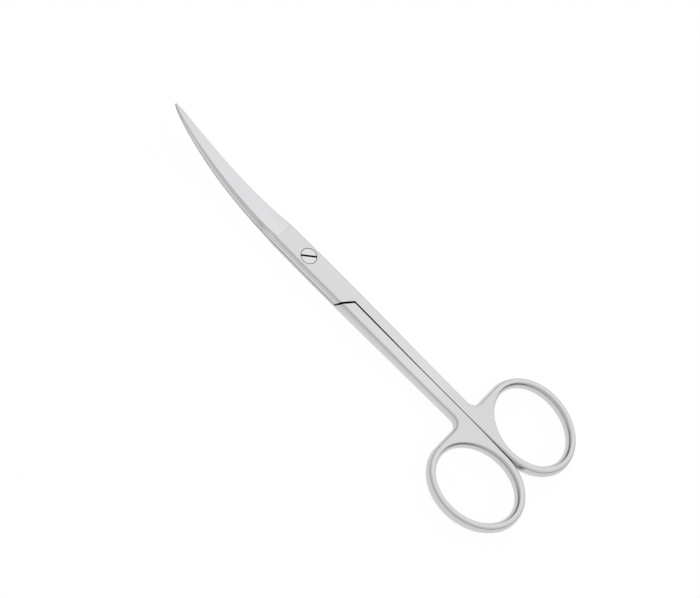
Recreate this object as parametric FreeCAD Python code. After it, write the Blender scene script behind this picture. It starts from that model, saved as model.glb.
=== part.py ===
import FreeCAD, Part
import math
import os

from FreeCAD import Vector

# Curved dissecting scissors with a screw joint, in millimetres.
# +X runs along the closed blades to the points, +Y to the finger ring, +Z up.
# The pivot axis is x = 0, y = 0, and the underside lies on z = 0.
# The two halves lap at the middle plane, and the blades curve up out of it.

# Joint
joint_thickness = 4.2
joint_half_width = 3.82
joint_front_half_width = 3.72
joint_straight = 14.0
flank_draft_deg = 17.5
running_gap = 0.06
edge_roll_radius = 0.7
ride_radius = 3.9
ride_slope = 0.3
ride_height = 0.08

# Lap shoulder, where each half becomes a full thickness shank
shoulder_outer_x = -14.3
shoulder_inner_x = -16.7
shoulder_gap_outer = 0.7
shoulder_gap_inner = 0.55
shoulder_outer_radius = 1.2
shoulder_inner_radius = 0.9
shoulder_corner_inset = 0.5

# Shanks
shank_end_half_width = 3.46
shank_thickness = 3.5
shank_taper_start = -17.0
shank_taper_length = 23.0
parting_gap_front = 0.3
parting_gap_rear = 0.12

# Finger rings
ring_x = -72.5
ring_y = 12.21
ring_outer_y = 12.06
ring_toe_in_deg = 11.2
hole_half_length = 11.55
hole_half_width = 9.6
hole_crown_radius = 2.35
hole_levels = 3
ring_wall = 2.68
neck_radius = 2.3

# Blades
blade_root_x = 9.3
blade_tip_x = 52.1
curve_start_x = 14.0
curve_radius = 87.0
tip_half_width = 0.22
tip_height = 0.32
taper_start_power = 1.4
taper_end_power = 0.6
ridge_share = 0.62
ridge_share_power = 5
edge_bevel_width = 0.2
edge_bevel_height = 0.3
grind_radius = 0.4
grind_depth = 0.15
root_fade_power = 8
back_relief = 0.12
land_width = 0.6
ridge_roll_left = 0.05
blade_stations = 14
station_crowding = 1.25

# Pivot screw
head_diameter = 4.5
head_height = 1.25
head_chamfer = 0.12
screw_diameter = 3.0
screw_running_gap = 0.05
head_gap = 0.06
slot_width = 0.45
slot_depth = 0.8
stem_chamfer = 0.1
slot_angle_deg = 43.7

# Worked out from the sizes above
half_joint = joint_thickness / 2
half_shank = shank_thickness / 2
draft = math.tan(math.radians(flank_draft_deg))
flank_inset = half_joint * draft
draft_height = half_joint + 1.0

# The rolled edge, between its lower line on the flank and its upper line on the top
roll_reach = edge_roll_radius * math.tan(math.radians(90 - flank_draft_deg) / 2)
roll_drop = roll_reach * math.cos(math.radians(flank_draft_deg))
roll_width = roll_reach * (1 + math.sin(math.radians(flank_draft_deg)))
roll_low = half_joint - roll_drop
ridge_root_share = 1 - (flank_inset + roll_reach - roll_width) / joint_front_half_width

# The ring's outer oval, and how far the cuts reach past the part
clear = 15.0
toe_in = math.radians(ring_toe_in_deg)
ring_half_length = hole_half_length + ring_wall
ring_half_width = hole_half_width + ring_wall
rear_x = ring_x - ring_half_length - clear


def corner(before, at, after, radius):
    """Tangent points and middle of the arc that rounds one corner of a path."""
    a = Vector(*before)
    b = Vector(*at)
    c = Vector(*after)
    back = (a - b).normalize()
    ahead = (c - b).normalize()
    half = back.getAngle(ahead) / 2
    reach = radius / math.tan(half)
    inward = (back + ahead).normalize()
    middle = b + inward * (radius / math.sin(half) - radius)
    return b + back * reach, middle, b + ahead * reach


def path_edges(points, z):
    """Edges of a closed outline of (x, y, radius) corners at height z."""
    flat = [(x, y, z) for x, y, _ in points]
    rounds = []
    for i, (_, _, radius) in enumerate(points):
        if radius > 0:
            rounds.append(corner(flat[i - 1], flat[i], flat[(i + 1) % len(flat)], radius))
        else:
            rounds.append((Vector(*flat[i]), None, Vector(*flat[i])))
    edges = []
    for i, (start, middle, end) in enumerate(rounds):
        if middle is not None:
            edges.append(Part.Arc(start, middle, end).toShape())
        edges.append(Part.LineSegment(end, rounds[(i + 1) % len(rounds)][0]).toShape())
    return edges


def prism(points, low, high):
    """A straight prism on an outline of rounded corners."""
    face = Part.Face(Part.Wire(path_edges(points, low)))
    return face.extrude(Vector(0, 0, high - low))


def drafted(outline):
    """A solid on both sides of the middle plane, whose outline draws in with height."""
    inset = draft_height * draft
    middle = outline(0.0, 0.0)
    upper = Part.makeLoft([middle, outline(inset, draft_height)], True, True)
    lower = Part.makeLoft([middle, outline(inset, -draft_height)], True, True)
    return upper.fuse(lower).removeSplitter()


def oval_curve(y, grow, z):
    """The ring's oval, grown or drawn in by one amount all round."""
    long_axis = Vector(math.cos(toe_in), -math.sin(toe_in), 0)
    centre = Vector(ring_x, -y, z)
    length = hole_half_length + grow
    width = hole_half_width + grow
    short_axis = Vector(math.sin(toe_in), math.cos(toe_in), 0)
    return Part.Ellipse(centre + long_axis * length, centre + short_axis * width, centre)


def oval_extreme(curve, direction):
    """The angle on an oval where it reaches furthest in a direction."""
    centre = curve.Center
    along = (curve.value(0) - centre).dot(direction)
    across = (curve.value(math.pi / 2) - centre).dot(direction)
    return math.atan2(across, along)


def bar_outline(inset, z):
    """Thumb shank and ring, from the joint to the far end of the ring."""
    oval = oval_curve(ring_outer_y, ring_wall - inset, z)
    at_neck = oval_extreme(oval, Vector(1, 0, 0))
    at_parting = oval_extreme(oval, Vector(0, 1, 0))
    neck = oval.value(at_neck)
    parting = oval.value(at_parting)
    front = -(joint_front_half_width - inset)
    side = -(joint_half_width - inset)
    end = -(shank_end_half_width - inset)
    shank = Vector(-joint_straight, side, z)
    turn = Vector(neck.x, end, z)
    start, middle, finish = corner(shank, turn, neck, neck_radius + inset)
    tip_side = [
        Vector(blade_root_x, half_joint, z),
        Vector(blade_root_x, front, z),
        Vector(0, side, z),
        shank,
        start,
    ]
    edges = [Part.LineSegment(a, b).toShape() for a, b in zip(tip_side, tip_side[1:])]
    edges.append(Part.Arc(start, middle, finish).toShape())
    edges.append(Part.LineSegment(finish, neck).toShape())
    edges.append(Part.ArcOfEllipse(oval, at_parting, at_neck + 2 * math.pi).toShape())
    edges.append(Part.LineSegment(parting, tip_side[0]).toShape())
    return Part.Wire(edges)


def plate_outline(inset, z):
    """The joint plate on the finger side of the thumb half."""
    front = joint_front_half_width - inset
    side = joint_half_width - inset
    points = [
        (blade_root_x, -half_joint, 0),
        (blade_root_x, front, 0),
        (0, side, 0),
        (shoulder_inner_x - clear, side, 0),
        (shoulder_inner_x - clear, -half_joint, 0),
    ]
    return Part.Wire(path_edges(points, z))


def rolled(body, side):
    """Rolls the long outer edges of a plate or shank over, above and below.
    side is the sign of y on which they lie."""
    edges = []
    for edge in body.Edges:
        middle = edge.valueAt((edge.FirstParameter + edge.LastParameter) / 2)
        ends = [vertex.Point.z for vertex in edge.Vertexes]
        level = min(abs(z) for z in ends) > half_shank - 0.01 and ends[0] * ends[-1] > 0
        if level and side * middle.y > 1 and middle.x < blade_root_x - 0.5:
            edges.append(edge)
    return body.makeFillet(edge_roll_radius, edges)


def side_profile():
    """Both halves seen from the side: level at the joint and thinner at the shanks."""
    end = shank_taper_start - shank_taper_length
    top = [(blade_root_x, half_joint, 0), (shank_taper_start, half_joint, 0)]
    top += [(end, half_shank, 0), (rear_x, half_shank, 0)]
    under = [(x, -z, 0) for x, z, _ in reversed(top)]
    solid = prism(top + under, -3 * clear, 3 * clear)
    solid.rotate(Vector(0, 0, 0), Vector(1, 0, 0), 90)
    return solid


def finger_hole():
    """The oval finger hole, crowned all round and narrowest at the middle plane.
    hole_levels is the number of bands above the middle plane, and below it."""
    rings = []
    for step in range(-hole_levels, hole_levels + 1):
        z = (half_shank + 0.2) * step / hole_levels
        opening = hole_crown_radius - math.sqrt(hole_crown_radius**2 - z**2)
        rings.append(Part.Wire(oval_curve(ring_y, opening, z).toShape()))
    return Part.makeLoft(rings, True, True)


def shoulder_path(gap_inner, gap_outer):
    """The step from lap to shank, from the parting line out past the flank."""
    side = joint_half_width - shoulder_corner_inset
    return [
        (shoulder_inner_x - gap_inner, -parting_gap_front / 2, shoulder_inner_radius),
        (shoulder_outer_x - gap_outer, side, shoulder_outer_radius),
        (shoulder_outer_x - gap_outer + 2 * shoulder_corner_inset, side + shoulder_corner_inset, 0),
    ]


def finger_space():
    """All the room that the finger half takes beside the thumb half."""
    step = shoulder_path(0, 0)
    points = [(rear_x, clear, 0), (rear_x, -parting_gap_rear / 2, 0)] + step
    points.append((step[-1][0], clear, 0))
    return prism(points, -clear, clear)


def lap_space():
    """Plan of the lap: all the room ahead of the thumb half's own shoulder."""
    step = shoulder_path(shoulder_gap_inner, shoulder_gap_outer)
    mirrored = [(x, -y - parting_gap_front * (i == 0), r) for i, (x, y, r) in enumerate(step)]
    inner_x, inner_y, _ = mirrored[0]
    points = [(inner_x - clear, clear, 0), (inner_x - clear, inner_y, 0)] + mirrored
    points.append((mirrored[-1][0], -clear, 0))
    points += [(blade_tip_x + clear, -clear, 0), (blade_tip_x + clear, clear, 0)]
    return prism(points, -clear, clear)


def rise(x):
    """How far the blades have curved up out of the middle plane at x."""
    if x <= curve_start_x:
        return 0.0
    return curve_radius - math.sqrt(curve_radius**2 - (x - curve_start_x) ** 2)


def mating_dish(level, side, relief=0.0):
    """The space on one side of the surface that the blades turn on.
    It is turned about the pivot axis, so the blades can't meet at any opening.
    A relief sinks all of the surface but the ride round the screw."""
    end_x = blade_tip_x + clear / 2
    middle_x = (curve_start_x + end_x) / 2
    sunk = level - side * relief
    far = side * 2 * clear + rise(end_x) * (side > 0)
    flat = [
        Vector(0, 0, level),
        Vector(ride_radius, 0, level),
        Vector(ride_radius + ride_slope, 0, sunk),
        Vector(curve_start_x, 0, sunk),
    ]
    walls = [
        Vector(end_x, 0, sunk + rise(end_x)),
        Vector(end_x, 0, far),
        Vector(0, 0, far),
        Vector(0, 0, level),
    ]
    curve = Part.Arc(flat[-1], Vector(middle_x, 0, sunk + rise(middle_x)), walls[0])
    profile = [Part.LineSegment(a, b).toShape() for a, b in zip(flat, flat[1:])]
    profile.append(curve.toShape())
    profile += [Part.LineSegment(a, b).toShape() for a, b in zip(walls, walls[1:])]
    return Part.Face(Part.Wire(profile)).revolve(Vector(0, 0, 0), Vector(0, 0, 1), 360)


def blade_section(x, side):
    """Blade section: edge bevel, ground face, ridge, back, and the relieved mating side.
    At the root it is the section of the plate, from which the ground face falls away.
    side is 1 for the thumb half's blade and -1 for the finger half's."""
    along = (x - blade_root_x) / (blade_tip_x - blade_root_x)
    taper = (1 - along**taper_start_power) ** taper_end_power
    half_width = tip_half_width + (joint_front_half_width - tip_half_width) * taper
    height = tip_height + (roll_low - tip_height) * taper
    share = ridge_share + (ridge_root_share - ridge_share) * (1 - along) ** ridge_share_power
    bevel = min(1.0, half_width)
    fade = (1 - along) ** root_fade_power
    roll = (1 - ridge_roll_left) * fade + ridge_roll_left * bevel
    edge_y = -half_width + edge_bevel_width * bevel + (roll_low * draft - edge_bevel_width) * fade
    edge_z = edge_bevel_height * bevel + (roll_low - edge_bevel_height) * fade
    face_y = half_width * share - roll_width * roll
    face_z = height + roll_drop * roll
    crown_y = edge_y + roll_width * half_width / joint_front_half_width
    crown_share = (crown_y - edge_y) / (face_y - edge_y)
    crown = (roll_drop * (1 - crown_share) - grind_depth) * fade
    points = [
        (-half_width, -tip_height),
        (-half_width, 0),
        (edge_y, edge_z),
        (crown_y, edge_z + (face_z - edge_z) * crown_share + crown),
        (face_y, face_z),
        (half_width * share, height),
        (half_width, back_relief * bevel),
        (-half_width + land_width * bevel, 0),
        (-half_width + land_width * bevel, -tip_height),
    ]
    flat = [Vector(x, side * y, rise(x) + side * z) for y, z in points]
    return Part.makePolygon(flat + flat[:1])


def blade(side):
    """A blade from the joint to its point, lofted through its sections."""
    wires = []
    for i in range(blade_stations):
        along = 1 - (1 - i / (blade_stations - 1)) ** station_crowding
        wires.append(blade_section(blade_root_x + (blade_tip_x - blade_root_x) * along, side))
    return Part.makeLoft(wires, True, False)


def grinding_wheel(side):
    """The round run-out that grinding the blade's face leaves in the joint plate."""
    top_edge = joint_front_half_width - flank_inset - roll_reach
    low = Vector(0, -top_edge, half_joint - grind_depth)
    high = Vector(0, top_edge, half_joint)
    along = (high - low).normalize()
    off = Vector(0, -along.z, along.y)
    start = low - along * clear + off * grind_radius
    wheel = Part.makeCylinder(grind_radius, 2 * clear + (high - low).Length, start, along)
    wheel.translate(Vector(blade_root_x, 0, 0))
    if side < 0:
        wheel.rotate(Vector(0, 0, 0), Vector(1, 0, 0), 180)
    return wheel


def half(side):
    """One half: blade, joint plate, shank and ring in one piece."""
    profile = side_profile()
    bar = rolled(drafted(bar_outline).common(profile), -1)
    plate = rolled(drafted(plate_outline).common(profile), 1)
    body = bar.fuse(plate).cut(finger_hole()).cut(finger_space())
    lap = lap_space()
    if side < 0:
        body.rotate(Vector(0, 0, 0), Vector(1, 0, 0), 180)
        lap.rotate(Vector(0, 0, 0), Vector(1, 0, 0), 180)
    level = side * running_gap / 2
    body = body.cut(grinding_wheel(side)).cut(mating_dish(level, -side, ride_height).common(lap))
    return body.fuse(blade(side).cut(mating_dish(level, -side))).removeSplitter()


def pivot_screw():
    """Slotted screw: its head is let into the thumb half, its end into the finger half."""
    head = Part.makeCylinder(head_diameter / 2, head_height, Vector(0, 0, half_joint - head_height))
    head = head.makeChamfer(head_chamfer, [e for e in head.Edges if e.BoundBox.ZMin > half_joint - 0.01])
    stem = Part.makeCylinder(screw_diameter / 2, joint_thickness - slot_depth, Vector(0, 0, -half_joint))
    stem = stem.makeChamfer(stem_chamfer, [e for e in stem.Edges if e.BoundBox.ZMax < 0.01 - half_joint])
    slot = Part.makeBox(2 * head_diameter, slot_width, 2 * slot_depth)
    slot.translate(Vector(-head_diameter, -slot_width / 2, half_joint - slot_depth))
    slot.rotate(Vector(0, 0, 0), Vector(0, 0, 1), slot_angle_deg)
    return head.fuse(stem).cut(slot).removeSplitter()


def thumb_half():
    """The upper half, with the screw's running hole and head seat."""
    body = half(1)
    hole = Part.makeCylinder(screw_diameter / 2 + screw_running_gap, joint_thickness)
    depth = head_height + head_gap
    seat = Part.makeCylinder(head_diameter / 2 + head_gap, joint_thickness, Vector(0, 0, half_joint - depth))
    return body.cut(hole.fuse(seat))


def finger_half():
    """The lower half, with the hole that the screw is tapped into."""
    hole = Part.makeCylinder(screw_diameter / 2, 2 * joint_thickness, Vector(0, 0, -joint_thickness))
    return half(-1).cut(hole)


def main():
    os.makedirs("parts", exist_ok=True)
    parts = {"thumb_half": thumb_half(), "finger_half": finger_half(), "pivot_screw": pivot_screw()}
    for name, shape in parts.items():
        shape.translate(Vector(0, 0, half_joint))
        solids = shape.Solids
        print(name, len(solids), shape.isValid(), round(shape.Volume, 2), shape.BoundBox)
        solids[0].exportStep("parts/" + name + ".step")


main()
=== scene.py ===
import math
import bmesh
import bpy
from mathutils import Matrix, Vector

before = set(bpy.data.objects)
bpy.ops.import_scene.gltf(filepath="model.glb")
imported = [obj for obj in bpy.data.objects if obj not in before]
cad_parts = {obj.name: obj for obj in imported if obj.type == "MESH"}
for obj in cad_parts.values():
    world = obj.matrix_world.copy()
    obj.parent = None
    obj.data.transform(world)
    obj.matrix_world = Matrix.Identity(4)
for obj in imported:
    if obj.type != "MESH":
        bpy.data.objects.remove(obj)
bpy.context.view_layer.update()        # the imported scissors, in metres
scene = bpy.context.scene
millimetre = 0.001
print("frame loaded:", ", ".join(sorted(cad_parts)))


# A shader socket that can be added, multiplied and compared in plain expressions
class Socket:
    def __init__(self, tree, out):
        self.tree = tree
        self.out = out

    def node(self, kind, settings=None, inputs=None, output=0):
        made = self.tree.nodes.new(kind)
        for name, value in (settings or {}).items():
            setattr(made, name, value)
        for name, value in (inputs or {}).items():
            if isinstance(value, Socket):
                self.tree.links.new(value.out, made.inputs[name])
            else:
                made.inputs[name].default_value = value
        return Socket(self.tree, made.outputs[output])

    def maths(self, operation, first, second=0.0):
        return self.node("ShaderNodeMath", {"operation": operation}, {0: first, 1: second})

    def __add__(self, other):
        return self.maths("ADD", self, other)

    def __radd__(self, other):
        return self.maths("ADD", other, self)

    def __sub__(self, other):
        return self.maths("SUBTRACT", self, other)

    def __rsub__(self, other):
        return self.maths("SUBTRACT", other, self)

    def __mul__(self, other):
        return self.maths("MULTIPLY", self, other)

    def __rmul__(self, other):
        return self.maths("MULTIPLY", other, self)

    def __gt__(self, other):
        return self.maths("GREATER_THAN", self, other)

    def __lt__(self, other):
        return self.maths("LESS_THAN", self, other)

    def __abs__(self):
        return self.maths("ABSOLUTE", self)

    def root(self):
        return self.maths("SQRT", self)

    def power(self, other):
        return self.maths("POWER", self, other)

    def larger(self, other):
        return self.maths("MAXIMUM", self, other)

    def ramp(self, low, high, atLow=0.0, atHigh=1.0, curve="SMOOTHSTEP"):
        return self.node("ShaderNodeMapRange", {"interpolation_type": curve},
                         {"Value": self, "From Min": low, "From Max": high,
                          "To Min": atLow, "To Max": atHigh})

    def mix(self, other, factor):
        return self.node("ShaderNodeMix", {"data_type": "FLOAT"}, {0: factor, 2: self, 3: other})

    def tint(self, first, second):
        first, second = (tone if isinstance(tone, Socket) else (*tone, 1) for tone in (first, second))
        return self.node("ShaderNodeMix", {"data_type": "RGBA"}, {0: self, 6: first, 7: second}, 2)

    def split(self):
        made = self.node("ShaderNodeSeparateXYZ", {}, {0: self})
        outs = made.out.node.outputs
        return [Socket(self.tree, out) * (1 / millimetre) for out in outs]

    def join(self, second, third):
        return self.node("ShaderNodeCombineXYZ", {}, {0: self, 1: second, 2: third})


def newMaterial(name):
    material = bpy.data.materials.new(name)
    material.use_nodes = True
    tree = material.node_tree
    shader = tree.nodes["Principled BSDF"]
    shader.inputs["Metallic"].default_value = 1.0
    place = Socket(tree, tree.nodes.new("ShaderNodeTexCoord").outputs["Object"])
    return shader, place


# Where things lie on a half, in millimetres, seen from its own screw-head side.
# A path is drawn in plan as (x, y, corner radius).
halfShape = {
    "middle": 2.1,
    "curveStart": 14.0, "curveRadius": 87.0,
    "bladeRoot": 9.3, "rootBlur": 0.1, "bladeLength": 42.8, "taperStart": 1.4, "taperEnd": 0.6,
    "plateHalfWidth": 3.72, "tipHalfWidth": 0.22,
    "backWidth": 0.5, "backLevels": (1.4, 0.6), "backStart": (9.0, 15.0), "backEnd": (50.0, 42.0),
    "plateEnd": [(-60.0, -0.104, 0), (-16.7, -0.15, 0.9), (-14.3, 3.32, 1.2), (-13.3, 3.82, 0)],
    "shoulder": [(-60.0, -0.196, 0), (-17.25, -0.15, 0.9), (-15.0, -3.32, 1.2), (-14.0, -3.82, 0)],
    "flankFrom": 2.6, "flankLevels": (1.3, 0.3), "flankFade": (-60.0, -50.0),
    "wallReach": 0.03, "cornerReach": 0.7,
    "seamHeight": 0.15, "seamWidth": 0.15, "lapEnd": -17.4, "flankSeamEnd": -14.1,
    "partingFront": 0.15, "partingRear": 0.06, "partingFrom": -16.7, "partingTo": -101.7,
    "partingReach": 0.05, "arrisLevel": 1.68, "arrisWidth": 0.09, "arrisFade": (-50.0, -22.0),
    "closeBy": 1.0, "openShares": (0.80, 0.60), "openSamples": 8,
    "ringCentre": (-72.5, 12.2), "ringStart": -57.0, "ringGrain": 11.0, "ringWallLight": (0.9, 1.5),
    "polishFade": (-60.0, -30.0), "ringFade": (-42.0, -58.0), "plateFade": (-35.0, -18.0),
}

# Satin steel
steelFinish = {
    "plate": (0.561, 0.561, 0.563),
    "shank": (0.575, 0.575, 0.579),
    "ring": (0.532, 0.532, 0.536),
    # painted light: the ring's walls are lighter than its top and bottom faces
    "ringWallLight": (0.605, 0.605, 0.610),
    # painted light: the flanks are lighter low down, towards the middle height
    "flank": (0.645, 0.645, 0.649),
    "blade": (0.600, 0.600, 0.616),
    # painted light: the blade's back is lighter low down
    "bladeBackLight": (0.730, 0.730, 0.745),
    "shade": (0.05, 0.05, 0.05),        # deep in the joints
    "seamShade": (0.54, 0.54, 0.55),       # mating faces and the band along the seam: a little darker, painted shade
    "roughness": 0.29, "ringRoughness": 0.15, "roughnessSwing": 0.025,
    "grainPitch": 0.10, "grainLength": 7.0,      # millimetres
    "grainDetail": 3.0, "grainHarshness": 0.6, "grainSpread": (0.3, 0.7),
    "bumpHeight": 0.0015, "bumpStrength": 0.25,
}


def brushed(shader, along, across, up, finish, polish=0.0):
    stretched = (along * (1 / finish["grainLength"])).join(across * (1 / finish["grainPitch"]),
                                                          up * (1 / finish["grainPitch"]))
    grain = along.node("ShaderNodeTexNoise", {"noise_dimensions": "3D"},
                       {"Vector": stretched, "Scale": 1.0, "Detail": finish["grainDetail"],
                        "Roughness": finish["grainHarshness"]})
    least, most = (finish["roughness"] + way * finish["roughnessSwing"] for way in (-1, 1))
    roughness = grain.ramp(*finish["grainSpread"], least, most) - polish
    bump = grain.node("ShaderNodeBump", {}, {"Height": grain, "Strength": finish["bumpStrength"],
                                             "Distance": finish["bumpHeight"] * millimetre})
    grain.tree.links.new(roughness.out, shader.inputs["Roughness"])
    grain.tree.links.new(bump.out, shader.inputs["Normal"])


def between(value, low, high):
    return (value > low) * (value < high)


# 1 close to a wall that follows a path, and 0 elsewhere
def onWall(x, y, path, near):
    found = None
    corners = [Vector(point[:2]) for point in path]
    start = corners[0]
    for before, at, after, (_, _, radius) in zip(corners, corners[1:], corners[2:], path[1:]):
        back, ahead = (before - at).normalized(), (after - at).normalized()
        half = math.acos(back.dot(ahead)) / 2
        reach = radius / math.tan(half)
        middle = at + (back + ahead).normalized() * (radius / math.sin(half))
        first, last = at + back * reach, at + ahead * reach
        radial = ((x - middle.x) * (x - middle.x) + (y - middle.y) * (y - middle.y)).root()
        toCorner = (at - middle).normalized()
        swept = (x - middle.x) * toCorner.x + (y - middle.y) * toCorner.y
        onArc = (abs(radial - radius) < near) * (swept > radius * math.sin(half))
        found = onArc if found is None else found.larger(onArc)
        if start is not corners[0]:
            found = found.larger(onLine(x, y, start, first, near))
        start = last
    return found


def onLine(x, y, first, last, near):
    along = (last - first).normalized()
    off = (x - first.x) * along.y - (y - first.y) * along.x
    passed = (x - first.x) * along.x + (y - first.y) * along.y
    return (abs(off) < near) * between(passed, 0.0, (last - first).length)


# Height over the mating side, which follows the curve of the blades
def levelOver(x, z, way, shape):
    out = (x - shape["curveStart"]).larger(0.0)
    radius = shape["curveRadius"]
    rise = (radius - (radius * radius - out * out).root()) * way
    return z - shape["middle"] - rise


# Half the width of the plate or blade at x
def halfWidth(x, shape):
    share = ((x - shape["bladeRoot"]) * (1 / shape["bladeLength"])).larger(0.0)
    taper = (1 - share.power(shape["taperStart"])).power(shape["taperEnd"])
    return shape["tipHalfWidth"] + (shape["plateHalfWidth"] - shape["tipHalfWidth"]) * taper


# 1 where the joint lies in shade. The walls do so only while the other half is close by,
# so not when the pair is open.
def jointShade(x, y, z, level, seam, side, shape):
    walls = onWall(x, y, shape["plateEnd"], shape["wallReach"]) * (z > shape["middle"])
    walls = walls.larger(onWall(x, y, shape["shoulder"], shape["wallReach"]) * (z < shape["middle"]))
    gap = x.ramp(shape["partingTo"], shape["partingFrom"],
                 shape["partingRear"], shape["partingFront"], "LINEAR")
    behindLap = x < shape["partingFrom"]
    parting = (abs(y) < gap + shape["partingReach"]) * behindLap
    arris = (abs(y) < gap + x.ramp(*shape["arrisFade"], 0.0, shape["arrisWidth"])) * behindLap
    arris = arris * (abs(level) > shape["arrisLevel"])
    corner = onWall(x, y, shape["shoulder"], shape["cornerReach"]) * seam
    edge = seam * (abs(y) > side - shape["seamWidth"]) * (x > shape["flankSeamEnd"])
    openShare = x.node("ShaderNodeAmbientOcclusion", {"samples": shape["openSamples"]},
                       {"Distance": shape["closeBy"] * millimetre}, 1)
    covered = openShare.ramp(*shape["openShares"])
    return (walls.larger(parting).larger(corner) * covered).larger(edge).larger(arris)


# way is 1 for the thumb half and -1 for the finger half, which is the same turned over
def halfSteel(name, way, finish, shape):
    shader, place = newMaterial(name)
    x, y, z = place.split()
    if way < 0:
        y = y * -1
        z = 2 * shape["middle"] - z

    ringX, ringY = shape["ringCentre"]
    ringX, ringY = x - ringX, y + ringY
    reach = (ringX * ringX + ringY * ringY).root()
    turned = ringX.maths("ARCTAN2", ringY, ringX) * shape["ringGrain"]
    onRing = x < shape["ringStart"]
    polish = x.ramp(*shape["polishFade"], finish["roughness"] - finish["ringRoughness"], 0.0)
    brushed(shader, x.mix(turned, onRing), y.mix(reach, onRing), z, finish, polish)

    level = levelOver(x, z, way, shape)
    side = halfWidth(x, shape)
    # The band around the seam, which takes a darker painted shade
    seam = (abs(level) < shape["seamHeight"]) * (x > shape["lapEnd"])
    shade = jointShade(x, y, z, level, seam, side, shape)

    # Painted light: the ring is lighter on its walls, around the middle height, than on its top and bottom
    # faces, where the real ring is rounded
    ring = abs(level).ramp(*shape["ringWallLight"]).tint(finish["ringWallLight"], finish["ring"])
    rear = x.ramp(*shape["ringFade"]).tint(finish["shank"], ring)
    steel = x.ramp(*shape["plateFade"]).tint(rear, finish["plate"])
    # Painted light: the flanks are lighter towards the middle height of the pair, where the real flanks
    # are slightly rounded
    flank = (abs(y) > shape["flankFrom"]) * abs(level).ramp(*shape["flankLevels"])
    flank = flank * x.ramp(*shape["flankFade"])
    steel = flank.tint(steel, finish["flank"])
    # Painted light: the blade's back is lighter low down, where the real back is rounded
    back = (y > side - shape["backWidth"]) * level.ramp(*shape["backLevels"])
    back = back * x.ramp(*shape["backStart"]) * x.ramp(*shape["backEnd"])
    blade = back.tint(finish["blade"], finish["bladeBackLight"])
    root = x.ramp(shape["bladeRoot"] - shape["rootBlur"], shape["bladeRoot"] + shape["rootBlur"])
    steel = root.tint(steel, blade)
    # Painted shade: the seam band is a little darker, and the joint's shaded places near black
    colour = shade.tint(seam.tint(steel, finish["seamShade"]), finish["shade"])
    shader.id_data.links.new(colour.out, shader.inputs["Base Color"])


screwFinish = {
    **steelFinish,
    "plate": (0.60, 0.60, 0.60),
    "seatBottom": 2.9,
    "endFace": 0.03, "shadeTop": 4.17,        # the slot and the stem between them lie in shade
    "slotWidth": 0.45, "slotDegrees": 43.7, "headRadius": 2.25,
    # how far the painted shade reaches over the slot's and the head's broken edges
    "edgeShadeWidth": 0.05,
}


def screwSteel(name, finish):
    shader, place = newMaterial(name)
    x, y, z = place.split()
    turn = math.radians(finish["slotDegrees"])
    along = x * math.cos(turn) + y * math.sin(turn)
    across = y * math.cos(turn) - x * math.sin(turn)
    brushed(shader, along, across, z, finish)
    # Painted shade in the slot and over its broken edges, and on the head's broken rim
    slotShade = abs(across) < finish["slotWidth"] / 2 + finish["edgeShadeWidth"]
    rimShade = (x * x + y * y).root() > finish["headRadius"] - finish["edgeShadeWidth"]
    shade = slotShade.larger(rimShade) * (z > finish["seatBottom"])
    shade = shade.larger(between(z, finish["endFace"], finish["shadeTop"]))
    colour = shade.tint(finish["plate"], finish["shade"])
    shader.id_data.links.new(colour.out, shader.inputs["Base Color"])


halfSteel("thumb half steel", 1, steelFinish, halfShape)
halfSteel("finger half steel", -1, steelFinish, halfShape)
screwSteel("screw steel", screwFinish)

meshFinish = {"weldWithin": 0.002, "crispDegrees": 22}      # millimetres, degrees
materialNames = {"thumb_half": "thumb half steel", "finger_half": "finger half steel"}
for name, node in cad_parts.items():
    node.data.materials.clear()
    node.data.materials.append(bpy.data.materials[materialNames.get(name, "screw steel")])
    for face in node.data.polygons:
        face.material_index = 0
    weld = node.modifiers.new("weld", "WELD")
    weld.merge_threshold = meshFinish["weldWithin"] * millimetre
    split = node.modifiers.new("crisp edges", "EDGE_SPLIT")
    split.split_angle = math.radians(meshFinish["crispDegrees"])
print("steel given to the three pieces")


# Floor: pale and plain
floorSettings = {"radius": 3.0, "segments": 64, "albedo": 0.95, "whiteShare": 0.965, "whiteInGloss": 0.95}

mesh = bpy.data.meshes.new("floor")
disc = bmesh.new()
bmesh.ops.create_circle(disc, cap_ends=True, radius=floorSettings["radius"],
                        segments=floorSettings["segments"])
disc.to_mesh(mesh)
disc.free()
floor = bpy.data.objects.new("floor", mesh)
scene.collection.objects.link(floor)

floorMaterial = bpy.data.materials.new("white floor")
floorMaterial.use_nodes = True
tree = floorMaterial.node_tree
tree.nodes.remove(tree.nodes["Principled BSDF"])
path = tree.nodes.new("ShaderNodeLightPath")
camera, glossy = Socket(tree, path.outputs["Is Camera Ray"]), Socket(tree, path.outputs["Is Glossy Ray"])
paint = camera.node("ShaderNodeBsdfDiffuse", {}, {"Color": (floorSettings["albedo"],) * 3 + (1,)})
white = camera.node("ShaderNodeEmission", {}, {"Color": (1, 1, 1, 1), "Strength": 1.0})
share = camera * floorSettings["whiteShare"] + glossy * floorSettings["whiteInGloss"]
mixed = camera.node("ShaderNodeMixShader", {}, {0: share, 1: paint, 2: white})
tree.links.new(mixed.out, tree.nodes["Material Output"].inputs["Surface"])
mesh.materials.append(floorMaterial)

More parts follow.
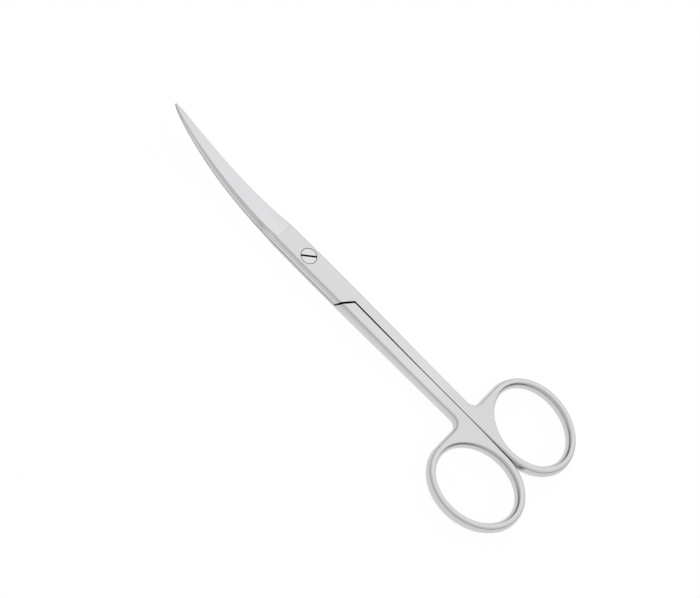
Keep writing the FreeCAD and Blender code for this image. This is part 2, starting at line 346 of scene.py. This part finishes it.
# The room is brighter behind the scissors, about 35 degrees up. Elsewhere it is dark along
# its foot, and less so towards the camera.
roomSettings = {
    "front": 0.82, "back": 1.16, "bright": (0.0, -0.82, 0.57), "brightSpread": (-0.15, 1.0),
    "foot": 0.80, "footHeight": 0.08, "footReach": 0.20, "footSpread": (0.55, 0.95),
    "footTowardsCamera": 0.55, "cameraSpread": (0.4, 0.9),
    "whiteSeen": 1.0,
}
world = bpy.data.worlds.new("studio")
world.use_nodes = True
tree = world.node_tree
seen = Socket(tree, tree.nodes.new("ShaderNodeLightPath").outputs["Is Camera Ray"])
direction = Socket(tree, tree.nodes.new("ShaderNodeTexCoord").outputs["Generated"])
facing = direction.node("ShaderNodeVectorMath", {"operation": "DOT_PRODUCT"},
                        {0: direction, 1: roomSettings["bright"]}, 1)
height = direction.node("ShaderNodeSeparateXYZ", {}, {0: direction}, 2)
sideways = direction.node("ShaderNodeSeparateXYZ", {}, {0: direction}, 1)
fromFoot = abs(height - roomSettings["footHeight"])
foot = fromFoot.ramp(0.0, roomSettings["footReach"], roomSettings["foot"], 0.0)
foot = foot * facing.ramp(*roomSettings["footSpread"], 1.0, 0.0)
foot = foot * sideways.ramp(*roomSettings["cameraSpread"], 1.0, roomSettings["footTowardsCamera"])
lit = facing.ramp(*roomSettings["brightSpread"], roomSettings["front"], roomSettings["back"])
strength = (lit * (1 - foot)).mix(roomSettings["whiteSeen"], seen)
tree.nodes["Background"].inputs["Color"].default_value = (1, 1, 1, 1)
tree.links.new(strength.out, tree.nodes["Background"].inputs["Strength"])
scene.world = world

lamps = {                 # radiance is what it adds to the room behind it
    "overhead": {"place": (0.0, -0.7, 0.95), "aim": (-0.015, 0, 0), "size": 1.0, "radiance": 0.13},
}
for name, lamp in lamps.items():
    data = bpy.data.lights.new(name, "AREA")
    data.shape = "SQUARE"
    data.size = lamp["size"]
    data.energy = math.pi * lamp["size"] ** 2 * lamp["radiance"]
    light = bpy.data.objects.new(name, data)
    light.location = lamp["place"]
    light.rotation_euler = (Vector(lamp["aim"]) - light.location).to_track_quat("-Z", "Y").to_euler()
    scene.collection.objects.link(light)
print("floor and lights set")


# Camera, at the photograph's angle
view = {
    "width": 700,
    "pitch": -2.6204, "tilt": 31.8116, "roll": 44.9744,      # degrees
    "distance": 594.25,                                      # millimetres to the point looked at
    "target": (-15.53, 0.44, 4.2),
    "pixelsPerMillimetre": 3.84,
    "sensor": 36.0, "clip": (0.01, 20),
}


def aimCamera(view):
    pitch, tilt, roll = (math.radians(view[name]) for name in ("pitch", "tilt", "roll"))
    towards = Vector((math.sin(pitch), math.cos(pitch) * math.sin(tilt), math.cos(pitch) * math.cos(tilt)))
    across = Vector((0, math.cos(tilt), -math.sin(tilt)))
    along = towards.cross(across)
    right = along * math.cos(roll) - across * math.sin(roll)
    up = towards.cross(right)
    data = bpy.data.cameras.new("camera")
    data.sensor_width = view["sensor"]
    data.lens = view["sensor"] * view["pixelsPerMillimetre"] * view["distance"] / view["width"]
    data.clip_start, data.clip_end = view["clip"]
    camera = bpy.data.objects.new("camera", data)
    place = (Vector(view["target"]) + towards * view["distance"]) * millimetre
    camera.matrix_world = Matrix.Translation(place) @ Matrix((right, up, towards)).transposed().to_4x4()
    scene.collection.objects.link(camera)
    scene.camera = camera


aimCamera(view)
scene.view_settings.view_transform = "Standard"
print("camera set")
